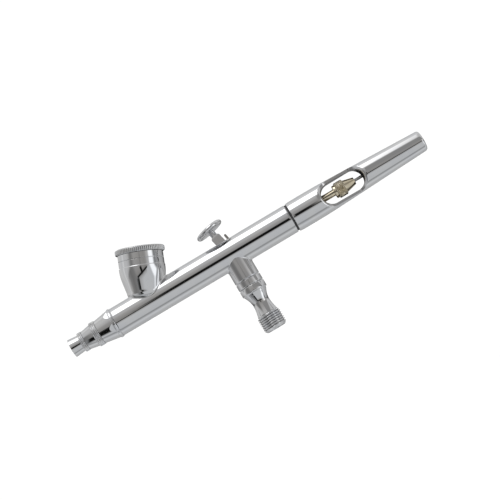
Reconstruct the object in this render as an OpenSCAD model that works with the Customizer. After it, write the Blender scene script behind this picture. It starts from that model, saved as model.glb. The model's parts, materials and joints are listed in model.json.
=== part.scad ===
// Dual-action, gravity-feed airbrush with a leaning paint cup and a cut-away handle.
// +X runs from the nose to the tail, +Z runs up through the trigger, and the origin is
// the middle of the air inlet's thread, under the trigger. All lengths are in mm.

/* [Barrel] */
// Outer diameter of the barrel
barrel_d = 12.0; // [11.8:0.1:12.2]
// Height of the barrel's axis above the middle of the inlet thread
axis_z = 30.35; // [30:0.05:31]
// X of the barrel's front end, where the head screws on
barrel_front = -52.8; // [-54:0.1:-52]
// X of the barrel's rear shoulder, where the handle's seal sits
barrel_rear = 26.75; // [26:0.05:27.5]
// Diameter of the needle and paint passage through the barrel
passage_d = 1.8; // [1.6:0.1:2.0]
// Diameter of the chamber that the trigger and levers work in
chamber_d = 6.6; // [6.4:0.1:6.8]
// Diameter of the rear bore that takes the spring case
rear_bore_d = 8.6; // [8.4:0.1:8.8]

/* [Head] */
// X of the needle cap's front edge
nose_x = -73.1; // [-73.6:0.1:-72.6]
// Diameter across the flared front of the needle cap
crown_d = 7.7; // [7.4:0.1:7.8]
// Diameter of the knurled ring on the needle cap
small_knurl_d = 8.25; // [8.1:0.05:8.4]
// Diameter of the knurled ring on the nozzle cap
large_knurl_d = 10.4; // [10.1:0.1:10.5]
// Distance across the head's wrench flats
head_flats = 11.4; // [11:0.1:11.6]
// Diameter of the bead round the rear of the head
head_bead_d = 12.6; // [12.4:0.1:12.8]

/* [Paint cup] */
// X where the cup's axis crosses the barrel's axis
cup_x = -38.8; // [-39.5:0.1:-38]
// Lean of the cup towards the tail, in degrees from upright
cup_lean = 22; // [20:0.5:24]
// Height of the cup's mouth along its own axis, from the barrel's axis
cup_mouth = 20.05; // [19.5:0.05:20.5]
// Diameter of the plain band under the lid
cup_band_d = 18.1; // [17.8:0.1:18.2]
// Greatest diameter of the bowl
bowl_d = 18.4; // [18.3:0.1:18.6]
// Diameter over the lid's knurled rim
lid_d = 19.8; // [19.5:0.1:20.1]
// Height of the lid's rim
lid_h = 2.3; // [2:0.1:2.6]
// Number of grooves round the lid
lid_teeth = 76; // [60:4:88]

/* [Trigger] */
// Height of the trigger's pivot, below the barrel's axis
pivot_drop = 3.0; // [2.9:0.1:3.1]
// Forward lean of the trigger at rest, in degrees
trigger_lean = 11.7; // [11:0.1:12]
// Diameter of the finger disc
disc_d = 12.1; // [11.5:0.1:12.5]
// Length of the stem's flat-sided part, along the lean
stem_w = 4.0; // [3.8:0.1:4.1]
// Distance from the pivot to the top of the finger disc
trigger_top = 16.8; // [16.4:0.05:17]

/* [Needle and chuck] */
// Diameter of the needle
needle_d = 1.2; // [1.1:0.1:1.2]
// X of the needle's point
needle_tip = -71.1; // [-71.3:0.1:-70.9]
// X of the needle's rear end
needle_end = 68.0; // [62:0.5:70]
// Outer diameter of the split chuck tube
guide_d = 2.8; // [2.7:0.05:2.8]
// Diameter over the chuck nut's knurl
nut_d = 6.5; // [6.2:0.1:6.6]

/* [Handle] */
// X of the handle's front edge
handle_front = 27.57; // [27.4:0.01:27.8]
// X of the handle's rear end
handle_rear = 87.0; // [85:0.5:89]
// Greatest diameter of the handle
handle_d = 12.5; // [12.3:0.1:12.6]
// Length of the window through the handle
window_l = 18.6; // [18:0.2:19.2]
// Height of the window through the handle
window_h = 8.6; // [8.2:0.1:8.8]

/* [Air valve] */
// Major diameter of the inlet's pipe thread, G 1/8
thread_d = 9.728; // [9.728]
// Length of the inlet's thread
thread_l = 5.7; // [5.4:0.1:6]
// Diameter of the boss under the barrel
boss_d = 10.6; // [10.4:0.1:10.8]
// Diameter of the casing's waist
waist_d = 6.9; // [6.8:0.1:7.2]

/* [Hidden] */

$fn = 96;
over = 0.5;                 // how far a cut runs past the surface it leaves by
run = 0.05;                 // radial clearance of a screwed or sliding fit
needle_run = 0.02;          // radial clearance round the needle
edge = 0.15;                // broken edge of the barrel and the handle
fine_cut = 0.22;            // depth of the knurls on the caps and the chuck nut

barrel_r = barrel_d / 2;
passage_r = passage_d / 2;
chamber_r = chamber_d / 2;
rear_r = rear_bore_d / 2;
needle_r = needle_d / 2;
guide_r = guide_d / 2;

// stations along the barrel, as X
body_face_x = -46.5;        // bottom of the barrel's front bore
packing_x = -12;            // front of the needle packing
packing_end = -9.5;
screw_end = -7.3;           // rear of the screw that holds the packing
chamber_front = -7;
chamber_rear = 12;
slot_front = -5.3;          // ends of the trigger's slot
slot_rear = 6.4;
spigot_end = 33.2;          // rear end of the spigot inside the handle
air_x = -3.3;               // where the air channel turns down to the valve

// radii and depths in the barrel
front_room_r = 4.6;         // air room round the head's rear spigot
packing_r = 1.9;
screw_r = 2.2;
spigot_r = 5.2;
slot_r = 1.8;
air_r = 0.6;
air_drop = 4.4;             // depth of the air channel below the axis

// stations down the valve, as Z from the barrel's axis
well_floor = -6.6;          // floor of the room for the trigger's fork
foot_seal_top = -8.0;
foot_seal_end = -8.9;
valve_top = -9.6;           // roof of the threaded bore in the boss
foot_end = -10.2;
casing_top = -10.4;
boss_groove = -11.9;
foot_room = -12.6;          // floor of the casing's mouth that the foot comes down into
boss_end = -14.8;
seat_z = -15.5;             // the valve's seat
plunger_head_top = -16.2;
plunger_head_end = -17.2;
collar_end = -17.8;
neck_top = -18.4;
guide_screw_top = -27.6;
plunger_tip = -28.8;
guide_screw_end = -31.0;
thread_top = thread_l / 2 - axis_z;
thread_end = -thread_l / 2 - axis_z;
inlet_end = thread_end - 1;

// radii in the valve
well_r = 2.4;
foot_r = 1.4;
foot_room_r = 1.7;
foot_seal_r = 2.2;
groove_w = 0.35;            // half the width, and the depth, of a V-groove
collar_round = 0.6;
collar_lip_r = 4.75;
neck_r = 4.6;
runout_r = 4.3;             // where the waist meets the thread
casing_spigot_r = 3.55;
casing_seal_r = 4.35;
casing_bore_r = 2.6;
spring_room_r = 2.3;
seat_r = 1.1;
plunger_r = 0.7;
plunger_head_r = 1.9;
plunger_seal_r = 1.8;
throat_t = 0.47;            // the waist's narrowest place, as a share of its length

// stations along the head, as X
cap_nose_x = -70.1;         // front of the nozzle cap, inside the needle cap
nozzle_tip = -70.6;
cap_spigot_x = -69.4;
small_knurl_x = -68.8;
cap_joint_x = -66.9;        // joint of the needle cap and the nozzle cap
nozzle_shoulder_x = -64.6;
cap_bore_x = -63.6;         // bottom of the nozzle cap's bore
head_spigot_x = -63.4;
large_knurl_x = -62.9;
needle_taper_x = -61.5;
nozzle_end = -61.2;
head_x = -60.4;             // front of the head's cone
head_flat_x = -54.15;       // rear end of the wrench flats
head_flat_l = 3;
head_tail_x = -48.5;        // end of the head's rear spigot
seal_x = -47.3;

// radii in the head
head_spigot_r = 3.7;
head_cone_r = 4.95;
head_flat_r = 6;
head_tail_r = 3.9;
head_seal_r = 1.9;
bead_round = 0.35;
flats_turn = -20;           // sets two flats towards -Y, one up by 20 degrees
air_hole_r = 0.35;
air_hole_pitch_r = 2.9;
cap_spigot_r = 2.9;
cap_bore_r = head_spigot_r + run;
cap_room_r = 3.0;
cap_hole_r = 0.75;
cap_nose_r = 1.7;
cap_front_r = 3.95;
cap_cone_r = 4.72;
cap_collar_r = 4.8;
crown_rear_r = 3.42;
crown_lip = 0.55;
small_collar_r = 3.9;
nozzle_thread_r = 1.5;
nozzle_bore_r = 0.8;
nozzle_flange_r = 2.2;
nozzle_cone_r = 1.9;
nozzle_tip_r = 0.4;
nozzle_hole_r = 0.12;

// the cup and its lid, as radii and as heights along the cup's axis
bowl_r = bowl_d / 2;
bowl_floor = 2.2;
bowl_foot = 4.8;            // where the side rounds under
bowl_round = 2.8;           // how far the rounded bottom draws in
bowl_slope = 0.26;          // taper of the side below the widest place
bowl_turn = 5;              // length over which the side turns into the taper
bowl_top = 14.5;            // where the bowl is widest
band_w = 15;                // lower edge of the plain band
band_groove = 17.45;
band_cut = 0.2;
cup_bore_r = 8.45;
cup_bore_end = 16;
cup_wall = 0.9;
funnel_top = 9.2;
funnel_neck = 6.4;
funnel_neck_r = 3.2;
funnel_end = 0.6;
lid_cut = 0.35;
lid_round = 0.8;
plug_r = 8.4;
plug_h = 2.2;
plug_room_r = 7.4;
dish_r = 7.6;
dish_h = 0.4;
vent_r = 0.6;

// the trigger, measured from its pivot along its own lean
fork_r = 1.3;
fork_w = 2.8;
tongue_r = 1.2;
tongue_w = 1.0;
pin_r = 0.5;
stem_foot = 2.8;            // ends of the flat-sided part of the stem
stem_top = 12.45;
shoulder = 0.7;
neck_post_r = 1.35;
disc_rim = 1;               // radius of the disc's rounded rim
disc_z = trigger_top - disc_rim;
disc_flare = 1.3;           // the neck flares out over this depth below the rim's middle
disc_hollow = 0.3;
disc_under_r = 2.2;
disc_dish = 0.55;
disc_land = 2;              // width of the disc's border round its dish
needle_gap = 0.3;           // side play of the needle in the trigger and the lever

// the back lever
lever_x = 3.3;
lever_drop = 2.4;
lever_lean = 11.9;
lever_t = 0.92;
lever_h = 10;
lever_w = 3.0;
bump_h = 5.0;
bump_r = 0.6;
bump_out = 1.0;

// the needle guide, its spring, the spring case and the chuck nut
flange_x = 3.9;
flange_end = 5.2;
flange_r = 3.1;
guide_end = 53.5;
guide_taper = 1.2;
slit_x = 40.3;
slit_w = 0.3;
spring_r = 2.1;
spring_wire_r = 0.22;
spring_turns = 15;
spring_gap = 0.05;          // between a spring and each of its seats
case_x = 13;
case_rim_x = 33.3;
case_wall_x = 35.2;
case_end = 37;
case_neck_end = 41.3;
case_room_r = 2.9;
case_rim_r = 4.8;
case_neck_r = 2.1;
case_round = 0.4;
nut_x = 46.7;
nut_knurl_x = 47.65;
nut_knurl_end = 51.4;
nut_end = 55.8;
nut_collar_r = 2.7;
nut_body_r = 2.9;
nut_cone_r = 2.55;
nut_nose_r = 1.5;
nut_run = 0.08;
nut_round = 0.4;
nut_teeth = 30;
valve_coil_r = 1.4;
valve_wire_r = 0.2;
valve_turns = 7;

// the handle
taper_x = 35;               // where the handle starts to narrow
taper_turn = 10;            // length over which it turns into its cone
taper_k = 0.00205;
seal_out_r = 5.6;
tail_round = 1.2;
window_x = 50.4;            // middle of the window
room_r = 4.6;               // the handle's bore round the chuck nut
tail_bore_r = 3.2;
tail_wall = 3;
front_cone_l = 1.5;

// ---- outlines ----

// points on an arc about [cx, cy]
function arc(cx, cy, r, from, to, steps = 6) =
    [for (i = [0 : steps]) let (a = from + (to - from) * i / steps)
        [cx + r * cos(a), cy + r * sin(a)]];

// radius of the bowl's outside at height w along the cup's axis
function bowl(w) = let (d = bowl_top - w) d < bowl_turn
    ? bowl_r - bowl_slope * d * d / (2 * bowl_turn)
    : bowl_r - bowl_slope * (d - bowl_turn / 2);

// the same where the bowl rounds under
function bowl_under(w) = bowl(bowl_foot) - bowl_round
    + bowl_round * sqrt(max(0, 1 - pow((bowl_foot - w) / (bowl_foot - bowl_floor), 2)));

// radius of the casing's waist, from the collar at t = 0 to the thread at t = 1
function waist_r(t) = t < throat_t
    ? waist_d / 2 + (neck_r - waist_d / 2) * pow(1 - t / throat_t, 2)
    : waist_d / 2 + (runout_r - waist_d / 2) * pow((t - throat_t) / (1 - throat_t), 1.6);

// radius of the handle's outside at x
function handle_r(x) = x < taper_x ? handle_d / 2
    : x < taper_x + taper_turn ? handle_d / 2 - taper_k * pow(x - taper_x, 2)
    : handle_d / 2 - taper_k * taper_turn * (2 * (x - taper_x) - taper_turn);

// ---- frames and shared shapes ----

module at_axis(x = 0, z = 0) translate([x, 0, axis_z + z]) children();

// children stand on the barrel's axis at x, with their own Z along +X
module along(x) at_axis(x) rotate([0, 90, 0]) children();

// a solid turned about the barrel's axis, from points [radius, x]
module turned(points) along(0) rotate_extrude() polygon(points);

// a solid turned about the valve's axis, from points [radius, z from the barrel's axis]
module upright(points) at_axis() rotate_extrude() polygon(points);

module rod(x0, x1, r, z = 0) at_axis(x0, z) rotate([0, 90, 0]) cylinder(h = x1 - x0, r = r);

module post(z0, z1, r, x = 0) at_axis(x, z0) cylinder(h = z1 - z0, r = r);

module post_ring(z0, z1, r_out, r_in) upright([[r_in, z0], [r_out, z0], [r_out, z1], [r_in, z1]]);

module cross_pin(r, w) rotate([90, 0, 0]) cylinder(h = w, r = r, center = true);

module slab(x0, x1, w, z0, z1) translate([x0, -w / 2, z0]) cube([x1 - x0, w, z1 - z0]);

module in_cup() at_axis(cup_x) rotate([0, cup_lean, 0]) children();

module in_trigger() at_axis(0, -pivot_drop) rotate([0, -trigger_lean, 0]) children();

module in_lever() at_axis(lever_x, -lever_drop) rotate([0, -lever_lean, 0]) children();

// a disc with straight V-grooves of the given depth round it
module knurl(r, depth, teeth, h) linear_extrude(h)
    polygon([for (i = [0 : 2 * teeth - 1])
        let (q = i % 2 == 0 ? r : r - depth, a = 180 * i / teeth) [q * cos(a), q * sin(a)]]);

// a knurled ring about the barrel's axis, rounded across its width
module beaded(x0, x1, r, teeth) intersection() {
    along(x0) knurl(r, fine_cut, teeth, x1 - x0);
    turned(concat([[cap_room_r + over, x0]], [[r - 0.45, x0]],
        arc(r - 0.45, (x0 + x1) / 2, (x1 - x0) / 2, -90, 90),
        [[r - 0.45, x1]], [[cap_room_r + over, x1]]));
}

// a coil of round wire standing on Z, closed at both ends of the wire
module coil(r, wire, h, turns, sides = 6, steps = 12) {
    n = turns * steps;
    ring = [for (i = [0 : n], j = [0 : sides - 1])
        let (a = 360 * i / steps, b = 360 * j / sides, q = r + wire * cos(b))
        [q * cos(a), q * sin(a), wire + (h - 2 * wire) * i / n + wire * sin(b)]];
    skin = [for (i = [0 : n - 1], j = [0 : sides - 1]) let (k = (j + 1) % sides)
        [i * sides + j, (i + 1) * sides + j, (i + 1) * sides + k, i * sides + k]];
    first = [for (j = [0 : sides - 1]) j];
    last = [for (j = [sides - 1 : -1 : 0]) n * sides + j];
    polyhedron(ring, concat([first], skin, [last]));
}

// ---- barrel, cup and lid ----

// the hollow of the cup, down to the paint passage
module cup_hollow() in_cup() rotate_extrude() polygon(concat(
    [[0, cup_mouth + over], [cup_bore_r, cup_mouth + over], [cup_bore_r, cup_bore_end]],
    [for (w = [13 : -1 : funnel_top]) [bowl(w) - cup_wall, w]],
    [[bowl(funnel_top) - cup_wall, funnel_top], [funnel_neck_r, funnel_neck],
        [passage_r, funnel_end], [0, funnel_end]]));

module airbrush_body() color("lightgray") difference() {
    union() {
        turned([[0, barrel_front], [barrel_r - edge, barrel_front], [barrel_r, barrel_front + edge],
            [barrel_r, barrel_rear - edge], [barrel_r - edge, barrel_rear],
            [spigot_r, barrel_rear], [spigot_r, spigot_end], [0, spigot_end]]);
        upright([[0, 0], [boss_d / 2, 0], [boss_d / 2, boss_groove + groove_w],
            [boss_d / 2 - groove_w, boss_groove], [boss_d / 2, boss_groove - groove_w],
            [boss_d / 2, boss_end + groove_w], [boss_d / 2 - groove_w, boss_end], [0, boss_end]]);
    }
    // front bore and its air room, then the paint passage
    rod(barrel_front - over, body_face_x, head_tail_r + run);
    rod(head_tail_x + 0.2, body_face_x, front_room_r);
    rod(body_face_x - over, chamber_front, passage_r);
    // seat of the packing and its screw
    rod(packing_x, chamber_front, packing_r);
    rod(packing_end, chamber_front + over, screw_r + run);
    // trigger chamber and rear bore
    rod(chamber_front, chamber_rear + over, chamber_r);
    rod(chamber_rear, spigot_end + over, rear_r);
    // slot for the trigger and the back lever
    at_axis() slab(slot_front + slot_r, slot_rear - slot_r, 2 * slot_r, 0, barrel_r + over);
    for (x = [slot_front + slot_r, slot_rear - slot_r]) post(0, barrel_r + over, slot_r, x);
    // well for the trigger's fork, guide of its foot and groove of the foot's seal
    post(well_floor, 0, well_r);
    post(valve_top - over, well_floor + over, foot_r + run);
    post(foot_seal_end, foot_seal_top, foot_seal_r);
    // threaded bore for the valve casing, with a recess for the casing's seal
    post(boss_end - over, valve_top, casing_spigot_r + run);
    post(boss_end - over, boss_end + 0.9, casing_seal_r);
    // air channel from the valve to the front room
    rod(body_face_x - 1, air_x + air_r, air_r, -air_drop);
    post(valve_top - over, -air_drop, air_r, air_x);
    cup_hollow();
}

module paint_cup() color("silver") difference() {
    in_cup() rotate_extrude() polygon(concat(
        [[0, bowl_floor]],
        [for (i = [0 : 8]) let (w = bowl_floor + (bowl_foot - bowl_floor) * i / 8) [bowl_under(w), w]],
        [for (w = [bowl_foot + 0.6 : 1 : bowl_top]) [bowl(w), w]],
        [[bowl_r, bowl_top], [bowl_r, band_w - 0.4], [cup_band_d / 2 - 0.1, band_w - 0.2]],
        [[cup_band_d / 2, band_w], [cup_band_d / 2, band_groove - 0.15],
            [cup_band_d / 2 - band_cut, band_groove], [cup_band_d / 2, band_groove + 0.15],
            [cup_band_d / 2, cup_mouth], [0, cup_mouth]]));
    rod(cup_x - 12, cup_x + 20, barrel_r);
    cup_hollow();
}

module cup_lid() color("silver") in_cup() difference() {
    union() {
        intersection() {
            translate([0, 0, cup_mouth]) knurl(lid_d / 2, lid_cut, lid_teeth, lid_h);
            translate([0, 0, cup_mouth]) rotate_extrude() polygon(concat([[0, 0]],
                arc(lid_d / 2 - 0.5, 0.6, 0.6, -90, 0),
                arc(lid_d / 2 - 0.7, lid_h - lid_round, lid_round, 0, 90), [[0, lid_h]]));
        }
        translate([0, 0, cup_mouth - plug_h]) cylinder(h = plug_h + 0.1, r = plug_r);
    }
    translate([0, 0, cup_mouth - plug_h - over]) cylinder(h = plug_h + 0.8 + over, r = plug_room_r);
    translate([0, 0, cup_mouth + lid_h - dish_h]) cylinder(h = 1, r = dish_r);
    translate([0, 0, cup_mouth]) cylinder(h = lid_h + 1, r = vent_r);
}

// ---- head, nozzle and caps ----

module head_base() color("lightgray") difference() {
    turned([[0, head_spigot_x], [head_spigot_r, head_spigot_x], [head_spigot_r, head_x],
        [head_cone_r, head_x], [head_flat_r, head_flat_x], [head_bead_d / 2 - 0.25, head_flat_x],
        [head_bead_d / 2, head_flat_x + bead_round], [head_bead_d / 2, barrel_front - bead_round],
        [head_bead_d / 2 - 0.25, barrel_front], [head_tail_r, barrel_front],
        [head_tail_r, head_tail_x], [head_seal_r, head_tail_x], [head_seal_r, seal_x], [0, seal_x]]);
    // wrench flats behind the cone
    along(head_flat_x - head_flat_l) linear_extrude(head_flat_l) difference() {
        circle(r = barrel_r + 1);
        rotate(flats_turn) circle(d = head_flats / cos(30), $fn = 6);
    }
    // paint passage, nozzle thread and a ring of air holes
    rod(head_spigot_x - over, seal_x + over, passage_r);
    rod(head_spigot_x - over, nozzle_end, nozzle_thread_r + run);
    for (a = [0 : 60 : 300]) along(head_spigot_x - over) rotate(a)
        translate([air_hole_pitch_r, 0, 0])
            cylinder(h = head_tail_x - head_spigot_x + 2 * over, r = air_hole_r);
}

module head_seal() color("white") difference() {
    rod(seal_x, body_face_x, head_seal_r);
    rod(seal_x - over, body_face_x + over, passage_r);
}

module fluid_nozzle() color("gold") turned([[nozzle_bore_r, nozzle_end],
    [nozzle_thread_r, nozzle_end], [nozzle_thread_r, head_spigot_x],
    [nozzle_flange_r, head_spigot_x], [nozzle_flange_r, head_spigot_x - 1],
    [nozzle_cone_r, head_spigot_x - 1], [nozzle_tip_r, nozzle_tip], [nozzle_hole_r, nozzle_tip],
    [nozzle_bore_r, nozzle_shoulder_x]]);

module nozzle_cap() color("silver") difference() {
    union() {
        turned([[cap_spigot_r, cap_joint_x], [cap_front_r, cap_joint_x], [cap_cone_r, large_knurl_x],
            [cap_collar_r, large_knurl_x], [cap_collar_r, head_x], [cap_bore_r, head_x],
            [cap_bore_r, cap_bore_x], [cap_room_r, cap_bore_x], [cap_hole_r, cap_nose_x + 0.3],
            [cap_hole_r, cap_nose_x], [cap_nose_r, cap_nose_x], [cap_spigot_r, cap_spigot_x]]);
        beaded(large_knurl_x, head_x, large_knurl_d / 2, 56);
    }
    rod(cap_bore_x, head_x + over, cap_bore_r);
}

module needle_cap() color("silver") difference() {
    union() {
        turned([[crown_d / 2 - 0.1, nose_x], [crown_d / 2, nose_x + 0.1],
            [crown_rear_r, small_knurl_x], [small_collar_r, small_knurl_x],
            [small_collar_r, cap_joint_x], [cap_spigot_r + run, cap_joint_x],
            [cap_spigot_r + run, cap_nose_x - 0.2], [crown_d / 2 - crown_lip, nose_x]]);
        beaded(small_knurl_x, cap_joint_x, small_knurl_d / 2, 44);
    }
    rod(cap_nose_x, cap_joint_x + over, cap_spigot_r + run);
}

// ---- needle, packing, guide and chuck ----

module needle() color("lightgray") turned([[0, needle_tip], [0.03, needle_tip],
    [needle_r, needle_taper_x], [needle_r, needle_end - 0.4], [needle_r - 0.25, needle_end],
    [0, needle_end]]);

module needle_packing() color("white") turned([[needle_r + needle_run, packing_x],
    [packing_r, packing_x], [packing_r, packing_end], [needle_r + needle_run, packing_end]]);

module packing_screw() color("gold") difference() {
    turned([[needle_r + run, packing_end], [screw_r, packing_end],
        [screw_r, screw_end], [needle_r + run, screw_end]]);
    // slot for a screwdriver
    at_axis(screw_end) slab(-0.6, over, 0.7, -chamber_r, chamber_r);
}

module needle_guide() color("wheat") difference() {
    turned([[needle_r + needle_run, flange_x], [flange_r, flange_x], [flange_r, flange_end],
        [guide_r, flange_end], [guide_r, guide_end - guide_taper],
        [guide_r - 0.35, guide_end], [needle_r + needle_run, guide_end]]);
    // the slits that let the tail close on the needle
    at_axis() slab(slit_x, guide_end + over, 2 * guide_d, -slit_w / 2, slit_w / 2);
}

module needle_spring() color("silver") along(flange_end + spring_gap)
    coil(spring_r, spring_wire_r, case_wall_x - flange_end - 2 * spring_gap, spring_turns);

module spring_case() color("wheat")
    turned([[case_room_r, case_x], [rear_r - run, case_x], [rear_r - run, case_rim_x],
        [case_rim_r, case_rim_x], [case_rim_r, case_end - case_round],
        [case_rim_r - case_round, case_end], [case_neck_r + 0.1, case_end],
        [case_neck_r, case_neck_end - 0.3], [case_neck_r - 0.3, case_neck_end],
        [guide_r + run, case_neck_end], [guide_r + run, case_wall_x], [case_room_r, case_wall_x]]);

module chuck_nut() color("wheat") difference() {
    union() {
        turned([[0, nut_x], [nut_collar_r, nut_x], [nut_collar_r, nut_knurl_x],
            [nut_body_r, nut_knurl_x], [nut_body_r, nut_knurl_end], [nut_cone_r, nut_knurl_end],
            [nut_nose_r, nut_end], [0, nut_end]]);
        intersection() {
            along(nut_knurl_x) knurl(nut_d / 2, fine_cut, nut_teeth, nut_knurl_end - nut_knurl_x);
            turned([[0, nut_knurl_x], [nut_d / 2 - 0.3, nut_knurl_x],
                [nut_d / 2 + 0.1, nut_knurl_x + nut_round],
                [nut_d / 2 + 0.1, nut_knurl_end - nut_round],
                [nut_d / 2 - 0.3, nut_knurl_end], [0, nut_knurl_end]]);
        }
    }
    // bore over the guide's tail, closing to a cone round the needle
    turned([[0, nut_x - over], [guide_r + run, nut_x - over], [guide_r + run, guide_end + 0.1],
        [needle_r + nut_run, nut_end - 0.6], [needle_r + nut_run, nut_end + over],
        [0, nut_end + over]]);
}

// ---- trigger and back lever ----

module trigger() color("silver") in_trigger() difference() {
    union() {
        cross_pin(fork_r, fork_w);
        slab(-fork_r, fork_r, fork_w, 0, stem_foot + 0.1);
        slab(-stem_w / 2, stem_w / 2, fork_w, stem_foot, stem_top);
        cylinder(h = disc_z, r = neck_post_r);
        rotate_extrude() polygon(concat([[0, disc_z - disc_flare], [neck_post_r, disc_z - disc_flare],
                [disc_under_r, disc_z - disc_hollow]],
            arc(disc_d / 2 - disc_rim, disc_z, disc_rim, -130, 80),
            [[disc_d / 2 - disc_land, trigger_top - 0.15], [disc_under_r, trigger_top - disc_dish],
                [0, trigger_top - disc_dish]]));
    }
    // gap for the foot's tongue, and the pin's hole
    slab(-fork_r - over, fork_r + over, tongue_w + 2 * run, -fork_r - over, tongue_r + 0.1);
    cross_pin(pin_r + run, fork_w + 2 * over);
    // the needle passes through here at every height of the trigger
    slab(-stem_w, stem_w, needle_d + needle_gap, pivot_drop - 1.1, pivot_drop + 3.5);
    // sloping shoulders of the flat-sided stem
    for (s = [-1, 1]) translate([s * stem_w / 2, 0, stem_top]) rotate([0, 45, 0])
        cube([shoulder, fork_w + 2 * over, shoulder], center = true);
}

module trigger_pin() color("gray") at_axis(0, -pivot_drop) cross_pin(pin_r, fork_w);

module trigger_foot() color("gold") difference() {
    union() {
        at_axis(0, -pivot_drop) {
            cross_pin(tongue_r, tongue_w);
            slab(-tongue_r, tongue_r, tongue_w, -2, 0);
        }
        post(foot_end, -pivot_drop - fork_r - 0.3, foot_r);
    }
    at_axis(0, -pivot_drop) cross_pin(pin_r, fork_w);
}

module foot_seal() color("white") post_ring(foot_seal_end, foot_seal_top, foot_seal_r, foot_r + needle_run);

module back_lever() color("gray") in_lever() difference() {
    union() {
        slab(-lever_t / 2, lever_t / 2, lever_w, 0, lever_h);
        cross_pin(lever_t / 2, lever_w);
        translate([0, 0, lever_h]) cross_pin(lever_t / 2, lever_w);
        slab(0, bump_out, lever_w, bump_h - bump_r, bump_h + bump_r);
        translate([bump_out, 0, bump_h]) cross_pin(bump_r, lever_w);
    }
    slab(-lever_t, lever_t, needle_d + needle_gap, lever_drop - 1, lever_drop + 1.2);
}

// ---- handle ----

module handle() color("silver") difference() {
    turned(concat([[0, handle_front], [handle_d / 2 - edge, handle_front],
        [handle_d / 2, handle_front + front_cone_l]],
        [for (x = [taper_x : 1 : taper_x + taper_turn]) [handle_r(x), x]],
        arc(handle_r(handle_rear) - tail_round, handle_rear - tail_round, tail_round, 0, 90),
        [[0, handle_rear]]));
    rod(handle_front - over, case_end + 1, spigot_r + run);
    rod(case_end, window_x + window_l / 2 + 0.8, room_r);
    rod(window_x, handle_rear - tail_wall, tail_bore_r);
    // the window, an obround cut right through
    at_axis(window_x) rotate([90, 0, 0]) linear_extrude(3 * barrel_r, center = true) {
        square([window_l - window_h, window_h], center = true);
        for (s = [-1, 1]) translate([s * (window_l - window_h) / 2, 0]) circle(d = window_h);
    }
}

module handle_seal() color("#202020") turned([[spigot_r, barrel_rear], [seal_out_r, barrel_rear],
    [seal_out_r, handle_front], [spigot_r, handle_front]]);

// ---- air valve ----

module valve_casing() color("silver") upright(concat(
    [[seat_r, foot_room], [foot_room_r, foot_room], [foot_room_r, casing_top],
        [casing_spigot_r, casing_top], [casing_spigot_r, boss_end],
        [boss_d / 2 - groove_w, boss_end], [boss_d / 2, boss_end - groove_w]],
    arc(boss_d / 2 - collar_round, collar_end + collar_round, collar_round, 0, -70, 4),
    [[collar_lip_r, collar_end - 0.2]],
    [for (t = [0 : 0.1 : 1]) [waist_r(t), neck_top + (thread_top - neck_top) * t]],
    [[thread_d / 2 - 0.5, thread_top], [thread_d / 2, thread_top - 0.01], [thread_d / 2, thread_end],
        [thread_d / 2 - 1, inlet_end], [casing_bore_r, inlet_end], [casing_bore_r, guide_screw_top],
        [spring_room_r, guide_screw_top], [spring_room_r, seat_z], [seat_r, seat_z]]));

module casing_seal() color("#202020")
    post_ring(boss_end + spring_gap, boss_end + 0.85, casing_seal_r - run, casing_spigot_r);

module valve_plunger() color("gold") upright([[0, plunger_tip], [plunger_r, plunger_tip],
    [plunger_r, plunger_head_end], [plunger_head_r, plunger_head_end],
    [plunger_head_r, plunger_head_top], [plunger_r, plunger_head_top],
    [plunger_r, foot_end - 0.1], [0, foot_end - 0.1]]);

module plunger_seal() color("#202020")
    post_ring(plunger_head_top, seat_z - 0.02, plunger_seal_r, plunger_r);

module valve_spring() color("silver") at_axis(0, guide_screw_top + spring_gap)
    coil(valve_coil_r, valve_wire_r, plunger_head_end - guide_screw_top - 2 * spring_gap, valve_turns);

module valve_guide_screw() color("gold") difference() {
    post_ring(guide_screw_end, guide_screw_top, casing_bore_r - run, plunger_r + run);
    // air holes round the plunger's stem
    for (a = [45 : 90 : 315]) at_axis(0, guide_screw_end - over) rotate(a)
        translate([1.65, 0, 0]) cylinder(h = guide_screw_top - guide_screw_end + 2 * over, r = 0.45);
}

airbrush_body();
paint_cup();
cup_lid();
head_base();
head_seal();
fluid_nozzle();
nozzle_cap();
needle_cap();
needle();
needle_packing();
packing_screw();
trigger();
trigger_pin();
trigger_foot();
foot_seal();
back_lever();
needle_guide();
needle_spring();
spring_case();
chuck_nut();
handle();
handle_seal();
valve_casing();
casing_seal();
valve_plunger();
plunger_seal();
valve_spring();
valve_guide_screw();
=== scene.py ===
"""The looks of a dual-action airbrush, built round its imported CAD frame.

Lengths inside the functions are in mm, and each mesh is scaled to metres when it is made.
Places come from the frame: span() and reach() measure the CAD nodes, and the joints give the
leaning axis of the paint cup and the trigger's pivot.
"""

import json
import math

import bmesh
import bpy
import numpy as np
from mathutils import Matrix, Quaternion, Vector
from mathutils.geometry import delaunay_2d_cdt


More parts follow.
